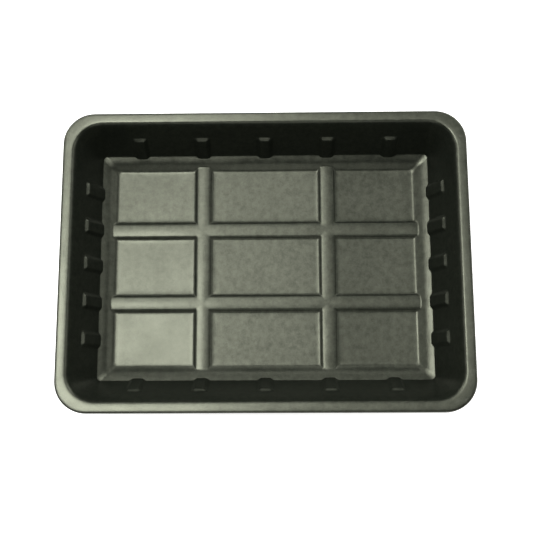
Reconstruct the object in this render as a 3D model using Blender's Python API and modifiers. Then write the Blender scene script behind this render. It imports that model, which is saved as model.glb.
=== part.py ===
"""Open seedling tray, thermoformed from one plastic sheet.

The sheet makes a turned-down rim, four drafted walls with five stacking lugs each, a raised margin along
the foot of the walls, and a floor of nine shallow panels parted by four raised bars that are hollow below.

Lengths are metres and +Z is up. The origin is the centre of the underside, on the plane the tray stands on.
"""

import math
from collections import namedtuple

import bmesh
import bpy

# Overall size
LENGTH = 0.400
WIDTH = 0.296
HEIGHT = 0.050
SHEET = 0.0010

# Rim: a lip that hangs outside, a rolled outer edge, a flat land and a fillet into the wall
LIP_DROP = 0.0055
LIP_FLARE = 0.0003
ROLL_RADIUS = 0.0026
LAND_END = 0.0076
FILLET_RADIUS = 0.0034
RIM_CORNER = 0.0310
WALL_CORNER = 0.0285

# Wall foot, edge of the raised margin and edge of the panels: insets from the outer edge, drops from the rim
FOOT_INSET = 0.0324
FOOT_DROP = 0.0422
FOOT_CORNER = 0.0030
MARGIN_INSET = 0.0410
MARGIN_DROP = 0.0451
MARGIN_CORNER = 0.0016
PANEL_INSET = 0.0480
PANEL_CORNER = 0.0012

# The drop at which the margin runs straight past the feet of the lugs
MARGIN_PLAIN_DROP = 0.0434

# Stacking lugs: five on each wall, in line with the bars
LUG_PITCH_X = 0.0636
LUG_PITCH_Y = 0.0377
LUGS_EACH_SIDE_OF_CENTRE = 2
LUG_HALF_FACE = 0.0046
LUG_HALF_FOOT = 0.0073
LUG_DEPTH_TOP = 0.0030
LUG_DEPTH_FOOT = 0.0025
LUG_TOP_DROP = 0.0174
LUG_SHOULDER_DROP = 0.0200

# Floor bars: two each way, on the first lug either side of the centre
BAR_HEIGHT = 0.0026
BAR_HALF_FOOT = 0.0095
BAR_HALF_TOP = 0.0054

# How finely the round stretches are stepped, how far out of plane a four-sided face may be, how close the
# quarters' edges must come to be joined, the decimals that stations are kept to, and the sharpest smooth edge
CORNER_STEPS = 8
ROLL_STEPS = 3
FLATNESS = 1e-7
JOIN_DISTANCE = 0.00001
STATION_DECIMALS = 6
SHARP_ANGLE = math.radians(30)

TRAY_COLOUR = (0.030, 0.032, 0.028, 1.0)
TRAY_ROUGHNESS = 0.42

HALF_LENGTH = LENGTH / 2
HALF_WIDTH = WIDTH / 2
PANEL_DROP = HEIGHT - SHEET

# One closed contour of the sheet: its inset from the outer edge, its drop below the rim, its corner radius,
# how far the lugs stand out of it, and how high the bars lift it where they end on it
Ring = namedtuple("Ring", "inset drop corner lug bar", defaults=(0.0, 0.0))


def clear_scene():
    for obj in list(bpy.data.objects):
        bpy.data.objects.remove(obj, do_unlink=True)


def make_material(name, colour, roughness):
    material = bpy.data.materials.new(name)
    material.use_nodes = True
    shader = material.node_tree.nodes["Principled BSDF"]
    shader.inputs["Base Color"].default_value = colour
    shader.inputs["Roughness"].default_value = roughness
    shader.inputs["Metallic"].default_value = 0.0
    material.diffuse_color = colour
    return material


def mix(a, b, share):
    return a + (b - a) * share


def wall_angle():
    """The wall's slope below the horizontal, tangent to the fillet and through the wall foot."""
    run = FOOT_INSET - LAND_END
    fall = FOOT_DROP - FILLET_RADIUS
    return math.atan2(fall, run) + math.asin(FILLET_RADIUS / math.hypot(run, fall))


def rim_rings():
    """The lip, the rolled outer edge, the flat land and the fillet that turns down into the wall."""
    rings = [Ring(0.0, LIP_DROP, RIM_CORNER)]
    for step in range(ROLL_STEPS + 1):
        turn = math.pi / 2 * step / ROLL_STEPS
        inset = LIP_FLARE + ROLL_RADIUS * (1 - math.cos(turn))
        rings.append(Ring(inset, ROLL_RADIUS * (1 - math.sin(turn)), RIM_CORNER - inset))
    end = wall_angle()
    wall_inset = LAND_END + FILLET_RADIUS * math.sin(end)
    for step in range(ROLL_STEPS + 1):
        turn = end * step / ROLL_STEPS
        inset = LAND_END + FILLET_RADIUS * math.sin(turn)
        rings.append(Ring(inset, FILLET_RADIUS * (1 - math.cos(turn)), WALL_CORNER + wall_inset - inset))
    return rings


def between(upper, lower, drop, lug=0.0):
    """The contour at this drop on the straight slope between two others."""
    share = (drop - upper.drop) / (lower.drop - upper.drop)
    inset = mix(upper.inset, lower.inset, share)
    return Ring(inset, drop, mix(upper.corner, lower.corner, share), lug)


def wall_rings(top):
    """The plain upper wall, the tops of the lugs and the wall foot."""
    foot = Ring(FOOT_INSET, FOOT_DROP, FOOT_CORNER, LUG_DEPTH_FOOT)
    lug_top = between(top, foot, LUG_TOP_DROP)
    lug_shoulder = between(top, foot, LUG_SHOULDER_DROP, LUG_DEPTH_TOP)
    return [lug_top, lug_shoulder, foot]


def margin_rings(foot):
    """The gently sloping margin, and the steeper slope that ends at the panels' outer edge."""
    edge = Ring(MARGIN_INSET, MARGIN_DROP, MARGIN_CORNER)
    panel = Ring(PANEL_INSET, PANEL_DROP, PANEL_CORNER, bar=BAR_HEIGHT)
    return [between(foot, edge, MARGIN_PLAIN_DROP), edge, between(edge, panel, PANEL_DROP - BAR_HEIGHT), panel]


def sheet_rings():
    """Every contour of the upper face, from the lip to the foot of the margin's slope."""
    rings = rim_rings()
    rings += wall_rings(rings[-1])
    rings += margin_rings(rings[-1])
    return rings


def raised_share(away, half_top, half_foot):
    """The share of its full height that a raised shape has at this distance from its centre line."""
    return min(1.0, max(0.0, (half_foot - away) / (half_foot - half_top)))


def lug_share(along, pitch):
    """How far the nearest lug stands out here, from 0 beside it to 1 across its face."""
    nearest = min(range(LUGS_EACH_SIDE_OF_CENTRE + 1), key=lambda i: abs(along - i * pitch))
    return raised_share(abs(along - nearest * pitch), LUG_HALF_FACE, LUG_HALF_FOOT)


def bar_share(along, pitch):
    """The height here of the bar that lies one pitch from the centre, as a share of its full height."""
    return raised_share(abs(along - pitch), BAR_HALF_TOP, BAR_HALF_FOOT)


def stations(pitch):
    """Where the sheet needs points along half a side: at the edges of each lug and of the bar."""
    lines = {0.0}
    for lug in range(LUGS_EACH_SIDE_OF_CENTRE + 1):
        for offset in (-LUG_HALF_FOOT, -LUG_HALF_FACE, LUG_HALF_FACE, LUG_HALF_FOOT):
            lines.add(round(lug * pitch + offset, STATION_DECIMALS))
    for offset in (-BAR_HALF_FOOT, -BAR_HALF_TOP, BAR_HALF_TOP, BAR_HALF_FOOT):
        lines.add(round(pitch + offset, STATION_DECIMALS))
    return sorted(line for line in lines if line >= 0)


def ring_points(ring, xs, ys):
    """A quarter of one contour: along the far side from x = 0, round the corner, back along the end to y = 0."""
    half_x = HALF_LENGTH - ring.inset
    half_y = HALF_WIDTH - ring.inset
    height = HEIGHT - ring.drop
    points = []
    for x in xs:
        y = half_y - ring.lug * lug_share(x, LUG_PITCH_X)
        points.append((x, y, height + ring.bar * bar_share(x, LUG_PITCH_X)))
    for step in range(CORNER_STEPS + 1):
        turn = math.pi / 2 * (1 - step / CORNER_STEPS)
        x = half_x - ring.corner * (1 - math.cos(turn))
        y = half_y - ring.corner * (1 - math.sin(turn))
        points.append((x, y, height))
    for y in reversed(ys):
        x = half_x - ring.lug * lug_share(y, LUG_PITCH_Y)
        points.append((x, y, height + ring.bar * bar_share(y, LUG_PITCH_Y)))
    return points


def is_flat(a, b, c, d):
    normal = (b.co - a.co).cross(c.co - a.co).normalized()
    return abs(normal.dot(d.co - a.co)) < FLATNESS


def add_cell(mesh, a, b, c, d):
    """One flat face, or two that meet on the diagonal that falls most, which is where two slopes mitre."""
    if is_flat(a, b, c, d):
        mesh.faces.new((a, b, c, d))
    elif abs(a.co.z - c.co.z) > abs(b.co.z - d.co.z):
        mesh.faces.new((a, b, c))
        mesh.faces.new((a, c, d))
    else:
        mesh.faces.new((a, b, d))
        mesh.faces.new((b, c, d))


def add_strip(mesh, outer, inner):
    """The cells between two neighbouring contours."""
    for a, b, c, d in zip(outer, outer[1:], inner[1:], inner):
        add_cell(mesh, a, b, c, d)


def add_floor(mesh, xs, ys, edge):
    """The floor inside the panel edge, on a grid of the stations, with the bars raised and their ends mitred."""
    columns = len(xs)
    far_side = edge[:columns]
    corner = edge[columns : columns + CORNER_STEPS + 1]
    end_side = list(reversed(edge[columns + CORNER_STEPS + 1 :]))
    grid = []
    for row, y in enumerate(ys):
        line = []
        for x in xs:
            bar = max(bar_share(x, LUG_PITCH_X), bar_share(y, LUG_PITCH_Y)) * BAR_HEIGHT
            line.append(mesh.verts.new((x, y, HEIGHT - PANEL_DROP + bar)))
        line.append(end_side[row])
        grid.append(line)
    grid.append(far_side)
    for low, high in zip(grid, grid[1:]):
        for column in range(min(len(low), len(high)) - 1):
            add_cell(mesh, low[column], low[column + 1], high[column + 1], high[column])
    mesh.faces.new([grid[-2][columns - 1], end_side[-1], *reversed(corner), far_side[-1]])


def quarter_sheet():
    """The upper face of one quarter of the tray, open on the planes x = 0 and y = 0."""
    xs = stations(LUG_PITCH_X)
    ys = stations(LUG_PITCH_Y)
    mesh = bmesh.new()
    outer = None
    for ring in sheet_rings():
        inner = [mesh.verts.new(point) for point in ring_points(ring, xs, ys)]
        if outer:
            add_strip(mesh, outer, inner)
        outer = inner
    add_floor(mesh, xs, ys, outer)
    bmesh.ops.recalc_face_normals(mesh, faces=mesh.faces)
    if sum(face.normal.z for face in mesh.faces) < 0:
        bmesh.ops.reverse_faces(mesh, faces=mesh.faces)
    return mesh


def make_tray(collection):
    data = bpy.data.meshes.new("tray")
    quarter = quarter_sheet()
    quarter.to_mesh(data)
    quarter.free()
    tray = bpy.data.objects.new("tray", data)
    collection.objects.link(tray)
    data.materials.append(make_material("black_plastic", TRAY_COLOUR, TRAY_ROUGHNESS))

    mirror = tray.modifiers.new("four quarters", "MIRROR")
    mirror.use_axis = (True, True, False)
    mirror.use_mirror_merge = True
    mirror.merge_threshold = JOIN_DISTANCE

    thickness = tray.modifiers.new("sheet thickness", "SOLIDIFY")
    thickness.thickness = SHEET
    thickness.offset = -1.0
    thickness.solidify_mode = "NON_MANIFOLD"
    thickness.nonmanifold_thickness_mode = "CONSTRAINTS"
    thickness.nonmanifold_boundary_mode = "FLAT"

    data.shade_smooth()
    data.set_sharp_from_angle(angle=SHARP_ANGLE)
    return tray


def main():
    clear_scene()
    collection = bpy.data.collections.new("seedling_tray")
    bpy.context.scene.collection.children.link(collection)
    make_tray(collection)


main()
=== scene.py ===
"""Looks of the open seedling tray: the fine formed sheet, its grained black plastic, and a plain studio.

The sheet follows the CAD tray's own cross-section, with the fillets and crowned faces that forming leaves.
Lengths are metres and +Z is up. The tray stands on z = 0 with its centre on the origin.
"""

import math

import bmesh
import bpy
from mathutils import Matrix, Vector, noise


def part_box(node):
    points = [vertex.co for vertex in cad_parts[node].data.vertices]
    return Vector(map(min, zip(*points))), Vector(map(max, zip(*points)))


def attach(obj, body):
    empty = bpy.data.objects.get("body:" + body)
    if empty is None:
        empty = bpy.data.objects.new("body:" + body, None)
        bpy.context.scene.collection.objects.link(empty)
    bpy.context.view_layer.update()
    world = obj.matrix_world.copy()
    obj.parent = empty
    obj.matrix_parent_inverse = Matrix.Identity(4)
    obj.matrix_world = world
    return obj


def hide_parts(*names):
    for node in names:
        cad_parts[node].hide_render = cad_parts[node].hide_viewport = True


# The sheet, the lip that hangs outside, and the roll between the lip and the top of the rim
SHEET = 0.0010
LIP_DROP = 0.0055
LIP_FLARE = 0.0003
ROLL_RADIUS = 0.0019

# Slope of the rim in degrees at these insets from the outer edge, from the roll to the top of the wall
RIM_SLOPES = (
    (0.0018, -12),
    (0.0024, 0),
    (0.0055, 3),
    (0.0092, 7),
    (0.0098, 20),
    (0.0108, 36),
    (0.0122, 52),
    (0.0140, 58),
    (0.0170, 61),
)
WALL_TOP = RIM_SLOPES[-1][0]
WALL_FOOT = 0.0324
FOOT_FILLET = 0.0008

# Slope of the margin in degrees at these insets, from the wall foot down to the flat of the panels
MARGIN_SLOPES = (
    (WALL_FOOT, 15),
    (0.0370, 18),
    (0.0400, 24),
    (0.0416, 32),
    (0.0444, 32),
    (0.0468, 24),
    (0.0480, 5),
    (0.0500, 2),
    (0.0530, 0),
)
FLOOR_INSET = MARGIN_SLOPES[-1][0]

# Slope of a bar in degrees at these distances from its centre line
BAR_SLOPES = (
    (0.0000, 0),
    (0.0034, 4),
    (0.0062, 9),
    (0.0070, 44),
    (0.0080, 44),
    (0.0093, 7),
    (0.0110, 3),
    (0.0140, 0),
)

# Radius of the rounded corners in plan, at these insets
PLAN_CORNERS = (
    (0.0000, 0.0310),
    (0.0029, 0.0281),
    (0.0076, 0.0315),
    (0.0106, 0.0285),
    (0.0324, 0.0044),
    (0.0530, 0.0044),
)

# Stacking lugs: five on each wall, in line with the bars
LUG_PITCH_X = 0.0636
LUG_PITCH_Y = 0.0377
LUGS_EACH_SIDE_OF_CENTRE = 2
LUG_HALF_FACE = 0.0040
LUG_HALF_WIDTH = 0.0090
LUG_DEPTH_TOP = 0.0030
LUG_DEPTH_FOOT = 0.0025
LUG_TOP_DROP = 0.0174
LUG_SHOULDER_DROP = 0.0200
LUG_SPREAD = 0.0050

# How finely the sheet is stepped, how its points are joined, and which edges stay sharp
TURN_STEP = math.radians(9)
CORNER_STEPS = 16
LUG_STEPS = 4
WALL_STEP = 0.0060
LUG_TOP_STEP = 0.0006
OPEN_STEP = 0.0120
SLIDE_STEP = 0.0011
FLOOR_CORNER_GAP = 0.0006
STATION_DECIMALS = 5
JOIN_DISTANCE = 0.00001
SHARP_ANGLE = math.radians(50)

# How near in height a bar and what it meets must be for the crease between them to be filled, as a share
JOIN_REACH = 0.25

# How far the panels' edges bow up at the ends of each bay along the tray, and how far up the bow reaches
BOW = 0.0005
BOW_REACH = 0.0065

# How far the thin sheet strays from true, and over what distance
WARP = 0.00016
WARP_LENGTH = 0.090

# The plastic's patterns: clouds, pebbles and grains to the metre, and what counts as low and high noise
CLOUD_SCALE = 22.0
MOTTLE_SCALE = 150.0
GRAIN_SCALE = 900.0
NOISE_LOW = 0.3
NOISE_HIGH = 0.7

# The grain in relief: its depth, and how much of it is pebbles, the rest being fine grain
GRAIN_DEPTH = 0.00010
MOTTLE_IN_RELIEF = 0.7

# Scuffs: how many to the metre, how stretched, at what noise they start and are full, and their strength away
# from the rim
SCUFF_SCALE = 90.0
SCUFF_STRETCH = (1.0, 1.0, 14.0)
SCUFF_START = 0.58
SCUFF_FULL = 0.70
SCUFFS_ELSEWHERE = 0.15

# Colours of the plastic, its roughness and what mottle and scuffs add to it, and how glossy it is
DARK_PLASTIC = (0.0062, 0.0078, 0.0056, 1.0)
LIGHT_PLASTIC = (0.0086, 0.0102, 0.0074, 1.0)
SCUFFED_PLASTIC = (0.024, 0.025, 0.022, 1.0)
GLOSS_TINT = (0.955, 1.0, 0.77, 1.0)
SMOOTHEST = 0.31
ROUGHEST = 0.35
MOTTLE_ROUGHNESS = 0.03
SCUFF_ROUGHNESS = 0.10
LOW_GLOSS = 0.36
HIGH_GLOSS = 0.64
RIM_GLOSS = 0.15

# The stage floor: its size, how far below the tray it lies, and its material
STAGE_SIZE = 8.0
STAGE_DROP = 0.0002
STAGE_COLOUR = (0.90, 0.90, 0.89, 1.0)
STAGE_GLOW = 0.9
STAGE_ROUGHNESS = 0.9
STAGE_GLOSS = 0.1

# The camera, above the near side and looking down into the tray: its place, its turn in radians, its lens
CAMERA_AT = (0.0152, -0.1519, 0.8557)
CAMERA_TURN = (0.1759, 0.0171, -0.0033)
CAMERA_LENS = 57.4

# Soft boxes round the tray: name, lean towards +X and towards +Y in degrees, side of the square box, watts
LIGHT_DISTANCE = 4.0
LIGHTS = (
    ("key", -14, 3, 0.7, 86),
    ("key_far", -8, 19, 0.9, 32),
    ("overhead", 10, 6, 1.2, 12),
    ("left", -50, 0, 1.5, 16),
    ("right", 50, 0, 1.5, 20),
    ("near", 0, -45, 1.5, 16),
    ("far", 0, 50, 1.5, 20),
    ("far_left", -44, 44, 1.5, 50),
    ("far_right", 44, 44, 1.5, 56),
)

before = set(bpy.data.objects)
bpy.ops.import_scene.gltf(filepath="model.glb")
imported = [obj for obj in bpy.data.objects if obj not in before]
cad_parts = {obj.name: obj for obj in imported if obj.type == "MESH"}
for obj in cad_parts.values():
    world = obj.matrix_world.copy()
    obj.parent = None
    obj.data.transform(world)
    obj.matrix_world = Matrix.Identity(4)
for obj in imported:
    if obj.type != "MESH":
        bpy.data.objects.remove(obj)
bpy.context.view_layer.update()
low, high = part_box("tray")
HALF_LENGTH = (high.x - low.x) / 2
HALF_WIDTH = (high.y - low.y) / 2
HEIGHT = high.z


def mix(a, b, share):
    return a + (b - a) * share


def clamp(value):
    return min(1.0, max(0.0, value))


def ease(value):
    """0 to 1 with level ends."""
    t = clamp(value)
    return t * t * (3 - 2 * t)


def fillet(before, corner, after, radius):
    """The arc that rounds one corner of the cross-section, as points."""
    into = (corner - before).normalized()
    out = (after - corner).normalized()
    turn = math.atan2(into.x * out.y - into.y * out.x, into.dot(out))
    start = corner - into * radius * math.tan(abs(turn) / 2)
    side = Vector((-into.y, into.x)) * math.copysign(radius, turn)
    centre = start + side
    steps = max(2, math.ceil(abs(turn) / TURN_STEP))
    points = []
    for step in range(steps + 1):
        angle = turn * step / steps
        arm = start - centre
        cosine, sine = math.cos(angle), math.sin(angle)
        points.append(centre + Vector((arm.x * cosine - arm.y * sine, arm.x * sine + arm.y * cosine)))
    return points


def slide(slopes):
    """Points down a face whose slope is given in degrees at some distances, as distance and fall."""
    points = [Vector((slopes[0][0], 0.0))]
    for (start, slope_a), (end, slope_b) in zip(slopes, slopes[1:]):
        steps = max(1, round((end - start) / SLIDE_STEP))
        for step in range(steps):
            slope = math.radians(mix(slope_a, slope_b, (step + 0.5) / steps))
            run = (end - start) / steps
            points.append(points[-1] + Vector((run, run * math.tan(slope))))
    return points


def roll(end):
    """The quarter turn from the upright lip to the top of the rim, ending at this point."""
    last = math.pi / 2 + math.radians(RIM_SLOPES[0][1])
    centre_drop = end.y + ROLL_RADIUS * math.sin(last)
    steps = math.ceil(last / TURN_STEP)
    points = []
    for step in range(steps + 1):
        turn = last * step / steps
        inset = mix(LIP_FLARE, end.x, (1 - math.cos(turn)) / (1 - math.cos(last)))
        points.append(Vector((inset, centre_drop - ROLL_RADIUS * math.sin(turn))))
    return points


BAR_PROFILE = slide(BAR_SLOPES)
BAR_HEIGHT = BAR_PROFILE[-1].y


def wall_stations(top, foot):
    """Points down the straight wall, close together where the lugs' rounded tops are."""
    drops = []
    drop = top.y + WALL_STEP
    while drop < foot.y - WALL_STEP / 2:
        near_top = LUG_TOP_DROP - LUG_TOP_STEP < drop < LUG_SHOULDER_DROP
        drops.append(drop)
        drop += LUG_TOP_STEP if near_top else WALL_STEP
        if drops[-1] < LUG_TOP_DROP - LUG_TOP_STEP < drop:
            drop = LUG_TOP_DROP
    return [top.lerp(foot, (drop - top.y) / (foot.y - top.y)) for drop in drops]


def cross_section():
    """The sheet's upper face from the lip to the floor, as points of inset and drop."""
    margin = slide(MARGIN_SLOPES)
    fall = HEIGHT - SHEET - margin[-1].y
    margin = [Vector((point.x, point.y + fall)) for point in margin]
    rim = slide(RIM_SLOPES)
    crest = min(point.y for point in rim)
    rim = [Vector((point.x, point.y - crest)) for point in rim]
    points = [Vector((0.0, LIP_DROP)), *roll(rim[0]), *rim[1:]]
    foot = fillet(points[-1], margin[0], margin[1], FOOT_FILLET)
    points += wall_stations(points[-1], foot[0])
    points += foot
    points += [point for point in margin if point.x > foot[-1].x]
    return points


def plan_corner(inset):
    """The corner radius in plan at this inset."""
    for (inset_a, radius_a), (inset_b, radius_b) in zip(PLAN_CORNERS, PLAN_CORNERS[1:]):
        if inset <= inset_b:
            return mix(radius_a, radius_b, (inset - inset_a) / (inset_b - inset_a))
    return PLAN_CORNERS[-1][1]


def wall_share(point):
    """How far down the wall this point of the cross-section is: 0 at the rim, 1 at the foot and beyond."""
    return clamp((point.x - WALL_TOP) / (WALL_FOOT - WALL_TOP))


def lug_depth(point):
    """How far a lug stands out of the wall at this point of the cross-section."""
    if point.x > WALL_FOOT:
        return LUG_DEPTH_FOOT * (1 - clamp((point.x - WALL_FOOT) / LUG_SPREAD))
    risen = ease((point.y - LUG_TOP_DROP) / (LUG_SHOULDER_DROP - LUG_TOP_DROP))
    down = wall_share(point)
    return risen * mix(LUG_DEPTH_TOP, LUG_DEPTH_FOOT, down)


def lug_share(along, pitch):
    """How far the nearest lug stands out here, from 0 beside it to 1 across its flat face."""
    nearest = min(range(LUGS_EACH_SIDE_OF_CENTRE + 1), key=lambda i: abs(along - i * pitch))
    away = abs(along - nearest * pitch)
    return ease((LUG_HALF_WIDTH - away) / (LUG_HALF_WIDTH - LUG_HALF_FACE))


def bar_share(along, pitch):
    """The height here of the bar one pitch from the centre, as a share of its full height."""
    away = abs(along - pitch)
    for before, after in zip(BAR_PROFILE, BAR_PROFILE[1:]):
        if away <= after.x:
            fall = mix(before.y, after.y, (away - before.x) / (after.x - before.x))
            return 1 - fall / BAR_HEIGHT
    return 0.0


def join(a, b):
    """Two raised shapes as one, with the crease where they meet slightly filled."""
    top = max(a, b)
    near = max(0.0, 1 - abs(a - b) / JOIN_REACH)
    return top + JOIN_REACH * near * near * clamp(top) * (1 - clamp(top))


def stations(pitch, end):
    """Where the sheet needs points along half a side: across the lugs, over the bar, and in between."""
    offsets = [0.0]
    for step in range(LUG_STEPS + 1):
        offsets.append(mix(LUG_HALF_FACE, LUG_HALF_WIDTH, step / LUG_STEPS))
    lines = set()
    for lug in range(LUGS_EACH_SIDE_OF_CENTRE + 1):
        bar_offsets = [point.x for point in BAR_PROFILE] if lug == 1 else []
        for offset in offsets + bar_offsets:
            lines.add(round(lug * pitch + offset, STATION_DECIMALS))
            lines.add(round(lug * pitch - offset, STATION_DECIMALS))
    lines = sorted(line for line in lines if line >= 0)
    lines.append(end)
    filled = [lines[0]]
    for line in lines[1:]:
        gap = line - filled[-1]
        parts = math.ceil(gap / OPEN_STEP)
        start = filled[-1]
        for part in range(1, parts + 1):
            filled.append(start + gap * part / parts)
    return filled


def sheet_height(drop, share):
    """Height of the upper face, from the cross-section's drop and the bar's share of its full height."""
    if share <= 0:
        return HEIGHT - drop
    rise = (HEIGHT - drop - SHEET) / BAR_HEIGHT
    return SHEET + BAR_HEIGHT * join(rise, share)


def contour(point, xs, ys):
    """A quarter of one contour: along the far side from x = 0, round the corner, and back to y = 0."""
    half_x = HALF_LENGTH - point.x
    half_y = HALF_WIDTH - point.x
    corner = plan_corner(point.x)
    depth = lug_depth(point)
    sink = depth * math.tan(math.radians(MARGIN_SLOPES[0][1])) * wall_share(point)
    points = []
    for x in xs:
        lug = lug_share(x, LUG_PITCH_X)
        height = sheet_height(point.y, bar_share(x, LUG_PITCH_X)) - sink * lug
        points.append((x, half_y - depth * lug, height))
    for step in range(CORNER_STEPS + 1):
        turn = math.pi / 2 * (1 - step / CORNER_STEPS)
        x = half_x - corner * (1 - math.cos(turn))
        y = half_y - corner * (1 - math.sin(turn))
        points.append((x, y, HEIGHT - point.y))
    for y in reversed(ys):
        lug = lug_share(y, LUG_PITCH_Y)
        height = sheet_height(point.y, bar_share(y, LUG_PITCH_Y)) - sink * lug
        points.append((half_x - depth * lug, y, height))
    return points


def add_floor(mesh, xs, ys, edge):
    """The floor inside the innermost contour, on a grid of the stations, with the bars raised."""
    columns = len(xs)
    far_side = edge[:columns]
    corner = edge[columns : columns + CORNER_STEPS + 1]
    end_side = list(reversed(edge[columns + CORNER_STEPS + 1 :]))
    grid = []
    for row, y in enumerate(ys):
        line = []
        for x in xs:
            share = join(bar_share(x, LUG_PITCH_X), bar_share(y, LUG_PITCH_Y))
            line.append(mesh.verts.new((x, y, SHEET + BAR_HEIGHT * share)))
        line.append(end_side[row])
        grid.append(line)
    grid.append(far_side)
    for near_row, far_row in zip(grid, grid[1:]):
        for a, b, c, d in zip(near_row, near_row[1:], far_row[1:], far_row):
            mesh.faces.new((a, b, c, d))
    mesh.faces.new([grid[-2][columns - 1], end_side[-1], *reversed(corner), far_side[-1]])


def quarter_sheet():
    """The upper face of one quarter of the tray, open on the planes x = 0 and y = 0."""
    inner = FLOOR_INSET + PLAN_CORNERS[-1][1] + FLOOR_CORNER_GAP
    xs = stations(LUG_PITCH_X, HALF_LENGTH - inner)
    ys = stations(LUG_PITCH_Y, HALF_WIDTH - inner)
    mesh = bmesh.new()
    outer = None
    for point in cross_section():
        ring = [mesh.verts.new(place) for place in contour(point, xs, ys)]
        if outer:
            for a, b, c, d in zip(outer, outer[1:], ring[1:], ring):
                mesh.faces.new((a, b, c, d))
        outer = ring
    add_floor(mesh, xs, ys, outer)
    bmesh.ops.recalc_face_normals(mesh, faces=mesh.faces)
    if sum(face.normal.z for face in mesh.faces) < 0:
        bmesh.ops.reverse_faces(mesh, faces=mesh.faces)
    return mesh


def bake(piece):
    """Replaces the piece's mesh by what its modifiers make of it."""
    graph = bpy.context.evaluated_depsgraph_get()
    baked = bpy.data.meshes.new_from_object(piece.evaluated_get(graph))
    old = piece.data
    piece.modifiers.clear()
    piece.data = baked
    bpy.data.meshes.remove(old)


def bow_share(x):
    """How far up the floor is bowed here, from 0 in the middle of a bay to 1 at its ends."""
    away = abs(x)
    bar_edge = BAR_PROFILE[-1].x
    if away < LUG_PITCH_X:
        return min(1.0, away / (LUG_PITCH_X - bar_edge)) ** 2
    start = LUG_PITCH_X + bar_edge
    end = HALF_LENGTH - FLOOR_INSET
    middle = (start + end) / 2
    return min(1.0, abs(away - middle) / (end - middle)) ** 2


def warp(mesh):
    """Bows the panels, and lets the floor lift and the rim dip a little, as a thin formed sheet does."""
    for vertex in mesh.vertices:
        vertex.co.z += BOW * bow_share(vertex.co.x) * clamp(1 - (vertex.co.z - SHEET) / BOW_REACH)
        share = 0.5 + 0.5 * noise.noise(vertex.co / WARP_LENGTH)
        lean = 1 - 2 * vertex.co.z / HEIGHT
        vertex.co.z += WARP * clamp(share) * lean


def make_tray(material):
    """The whole tray: four quarters of its upper face, warped a little, then given a thickness."""
    data = bpy.data.meshes.new("formed_sheet")
    quarter = quarter_sheet()
    quarter.to_mesh(data)
    quarter.free()
    tray = bpy.data.objects.new("formed_sheet", data)
    bpy.context.scene.collection.objects.link(tray)
    mirror = tray.modifiers.new("four quarters", "MIRROR")
    mirror.use_axis = (True, True, False)
    mirror.merge_threshold = JOIN_DISTANCE
    bake(tray)
    warp(tray.data)
    thickness = tray.modifiers.new("sheet thickness", "SOLIDIFY")
    thickness.thickness = SHEET
    thickness.offset = -1.0
    thickness.use_even_offset = True
    bake(tray)
    tray.data.shade_smooth()
    tray.data.set_sharp_from_angle(angle=SHARP_ANGLE)
    tray.data.materials.clear()
    tray.data.materials.append(material)
    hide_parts("tray")
    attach(tray, "root")


class Nodes:
    """A short way to write a material's node tree."""

    def __init__(self, tree):
        self.tree = tree

    def add(self, kind, **values):
        """A node with its inputs set by name; a value that is a socket is linked."""
        node = self.tree.nodes.new(kind)
        for name, value in values.items():
            if hasattr(node, name):
                setattr(node, name, value)
                continue
            socket = node.inputs[name.replace("_", " ")]
            if isinstance(value, bpy.types.NodeSocket):
                self.tree.links.new(value, socket)
            else:
                socket.default_value = value
        return node

    def noise(self, place, scale, detail=2.0, rough=0.5):
        node = self.add("ShaderNodeTexNoise", Vector=place, Scale=scale, Detail=detail, Roughness=rough)
        return node.outputs["Fac"]

    def map(self, value, from_low, from_high, to_low, to_high):
        node = self.add("ShaderNodeMapRange", Value=value)
        node.inputs["From Min"].default_value = from_low
        node.inputs["From Max"].default_value = from_high
        node.inputs["To Min"].default_value = to_low
        node.inputs["To Max"].default_value = to_high
        return node.outputs["Result"]

    def math(self, operation, a, b):
        node = self.tree.nodes.new("ShaderNodeMath")
        node.operation = operation
        for socket, value in zip(node.inputs, (a, b)):
            if isinstance(value, bpy.types.NodeSocket):
                self.tree.links.new(value, socket)
            else:
                socket.default_value = value
        return node.outputs["Value"]

    def blend(self, share, a, b):
        """One colour mixed into another; the node's colour sockets can only be told apart by number."""
        node = self.tree.nodes.new("ShaderNodeMix")
        node.data_type = "RGBA"
        sockets = [node.inputs["Factor"], node.inputs[6], node.inputs[7]]
        for socket, value in zip(sockets, (share, a, b)):
            if isinstance(value, bpy.types.NodeSocket):
                self.tree.links.new(value, socket)
            else:
                socket.default_value = value
        return node.outputs[2]


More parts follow.
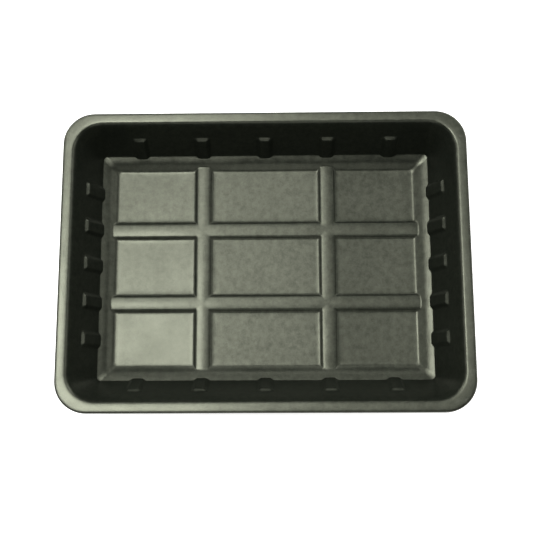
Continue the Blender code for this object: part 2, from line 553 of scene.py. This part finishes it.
def black_plastic():
    """Black sheet plastic: pebbled grain, an uneven satin sheen, and a glossier, more scuffed rim."""
    material = bpy.data.materials.new("grained_black_plastic")
    material.use_nodes = True
    nodes = Nodes(material.node_tree)
    shader = material.node_tree.nodes["Principled BSDF"]
    links = material.node_tree.links
    place = nodes.add("ShaderNodeTexCoord").outputs["Object"]
    cloud = nodes.noise(place, CLOUD_SCALE, 3.0)
    mottle = nodes.noise(place, MOTTLE_SCALE, 3.0, 0.8)
    grain = nodes.noise(place, GRAIN_SCALE, 2.0, 0.6)

    up = nodes.add("ShaderNodeSeparateXYZ", Vector=place).outputs["Z"]
    on_rim = nodes.map(up, HEIGHT - LIP_DROP, HEIGHT - SHEET / 2, SCUFFS_ELSEWHERE, 1.0)
    stretched = nodes.add("ShaderNodeMapping", Vector=place)
    stretched.inputs["Scale"].default_value = SCUFF_STRETCH
    scratch = nodes.noise(stretched.outputs["Vector"], SCUFF_SCALE, 3.0, 0.7)
    scuffs = nodes.math("MULTIPLY", nodes.map(scratch, SCUFF_START, SCUFF_FULL, 0.0, 1.0), on_rim)

    clean = nodes.blend(cloud, DARK_PLASTIC, LIGHT_PLASTIC)
    links.new(nodes.blend(scuffs, clean, SCUFFED_PLASTIC), shader.inputs["Base Color"])

    rough = nodes.map(cloud, NOISE_LOW, NOISE_HIGH, SMOOTHEST, ROUGHEST)
    pebbled = nodes.map(mottle, NOISE_LOW, NOISE_HIGH, -MOTTLE_ROUGHNESS, MOTTLE_ROUGHNESS)
    rough = nodes.math("ADD", rough, pebbled)
    rough = nodes.math("ADD", rough, nodes.math("MULTIPLY", scuffs, SCUFF_ROUGHNESS))
    links.new(rough, shader.inputs["Roughness"])

    gloss = nodes.map(mottle, NOISE_LOW, NOISE_HIGH, LOW_GLOSS, HIGH_GLOSS)
    gloss = nodes.math("ADD", gloss, nodes.math("MULTIPLY", on_rim, RIM_GLOSS))
    links.new(gloss, shader.inputs["Specular IOR Level"])
    shader.inputs["Specular Tint"].default_value = GLOSS_TINT

    pebbles = nodes.math("MULTIPLY", mottle, MOTTLE_IN_RELIEF)
    fine = nodes.math("MULTIPLY", grain, 1 - MOTTLE_IN_RELIEF)
    bump = nodes.add("ShaderNodeBump", Height=nodes.math("ADD", pebbles, fine), Strength=1.0)
    bump.inputs["Distance"].default_value = GRAIN_DEPTH
    links.new(bump.outputs["Normal"], shader.inputs["Normal"])
    return material


def plain(name, colour, glow):
    """A matt stage material that also glows."""
    material = bpy.data.materials.new(name)
    material.use_nodes = True
    shader = material.node_tree.nodes["Principled BSDF"]
    shader.inputs["Base Color"].default_value = colour
    shader.inputs["Roughness"].default_value = STAGE_ROUGHNESS
    shader.inputs["Specular IOR Level"].default_value = STAGE_GLOSS
    shader.inputs["Emission Color"].default_value = colour
    shader.inputs["Emission Strength"].default_value = glow
    return material


def make_floor():
    """A pale floor, just clear of the tray's underside."""
    bpy.ops.mesh.primitive_plane_add(size=STAGE_SIZE, location=(0.0, 0.0, -STAGE_DROP))
    floor = bpy.context.active_object
    floor.name = "studio_floor"
    floor.data.materials.append(plain("pale_floor", STAGE_COLOUR, STAGE_GLOW))


def soft_light(name, side_angle, far_angle, size, power):
    """A soft box that faces the tray from above, leaning by these angles towards +X and towards +Y."""
    lamp = bpy.data.lights.new(name, "AREA")
    lamp.shape = "SQUARE"
    lamp.size = size
    lamp.energy = power
    light = bpy.data.objects.new(name, lamp)
    towards = Vector((math.tan(side_angle), math.tan(far_angle), 1.0)).normalized()
    light.location = towards * LIGHT_DISTANCE
    light.rotation_mode = "QUATERNION"
    light.rotation_quaternion = towards.to_track_quat("Z", "Y")
    bpy.context.scene.collection.objects.link(light)


def make_world():
    """A white room that the camera sees but that doesn't light the tray."""
    world = bpy.data.worlds.new("pale_room")
    world.use_nodes = True
    tree = world.node_tree
    back = tree.nodes["Background"]
    path = tree.nodes.new("ShaderNodeLightPath")
    strength = tree.nodes.new("ShaderNodeMapRange")
    strength.inputs["To Min"].default_value = 0.0
    strength.inputs["To Max"].default_value = 1.0
    tree.links.new(path.outputs["Is Camera Ray"], strength.inputs["Value"])
    tree.links.new(strength.outputs["Result"], back.inputs["Strength"])
    back.inputs["Color"].default_value = (1.0, 1.0, 1.0, 1.0)
    bpy.context.scene.world = world


def make_camera():
    """The camera, in its fixed place."""
    camera = bpy.data.objects.new("camera", bpy.data.cameras.new("camera"))
    camera.location = CAMERA_AT
    camera.rotation_euler = CAMERA_TURN
    camera.data.lens = CAMERA_LENS
    bpy.context.scene.collection.objects.link(camera)
    bpy.context.scene.camera = camera


def make_studio():
    """The floor, the room, the camera and the soft boxes, with colours shown as they are."""
    make_floor()
    make_world()
    make_camera()
    for name, side_angle, far_angle, size, power in LIGHTS:
        soft_light(name, math.radians(side_angle), math.radians(far_angle), size, power)
    bpy.context.scene.view_settings.view_transform = "Standard"


make_tray(black_plastic())
make_studio()
